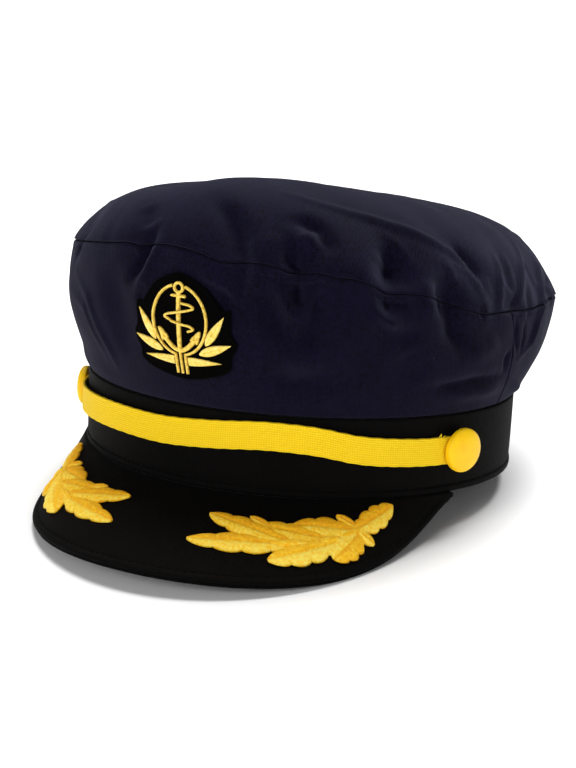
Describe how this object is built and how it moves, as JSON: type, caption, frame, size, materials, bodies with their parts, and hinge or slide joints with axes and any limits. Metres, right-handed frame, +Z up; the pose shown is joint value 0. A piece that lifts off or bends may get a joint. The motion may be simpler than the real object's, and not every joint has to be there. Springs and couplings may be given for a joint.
{
  "type": "captain hat",
  "caption": "Soft navy captain's hat with a stiff black band and peak, yellow chin strap, anchor badge and gold oak leaf sprays; open below for the head.",
  "frame": {"origin": "on the floor, in the middle of the hat's bounding box seen from above", "axes": "+Z up from the floor it rests on, -Y to the front where the peak is, +X to the wearer's left"},
  "size_m": [0.1988, 0.2612, 0.1301],
  "materials": {
    "navy_twill": "matt cotton twill",
    "black_rib": "matt ribbed cotton",
    "yellow_webbing": "woven rib with a soft sheen",
    "yellow_plastic": "satin plastic",
    "black_felt": "matt felt",
    "badge_thread": "satin thread",
    "spray_thread": "glossy embroidery thread"
  },
  "bodies": {
    "root": {"crown_top": "navy_twill", "crown_side_front": "navy_twill", "crown_side_back": "navy_twill", "band": "black_rib", "peak": "black_rib", "peak_facing": "black_rib", "strap": "yellow_webbing", "button_left": "yellow_plastic", "button_right": "yellow_plastic", "badge_patch": "black_felt", "badge_ring_left": "badge_thread", "badge_ring_right": "badge_thread", "badge_anchor": "badge_thread", "badge_rope": "badge_thread", "badge_leaf_left_1": "badge_thread", "badge_leaf_left_2": "badge_thread", "badge_leaf_left_3": "badge_thread", "badge_leaf_right_1": "badge_thread", "badge_leaf_right_2": "badge_thread", "badge_leaf_right_3": "badge_thread", "spray_left": "spray_thread", "spray_right": "spray_thread"}
  },
  "joints": []
}
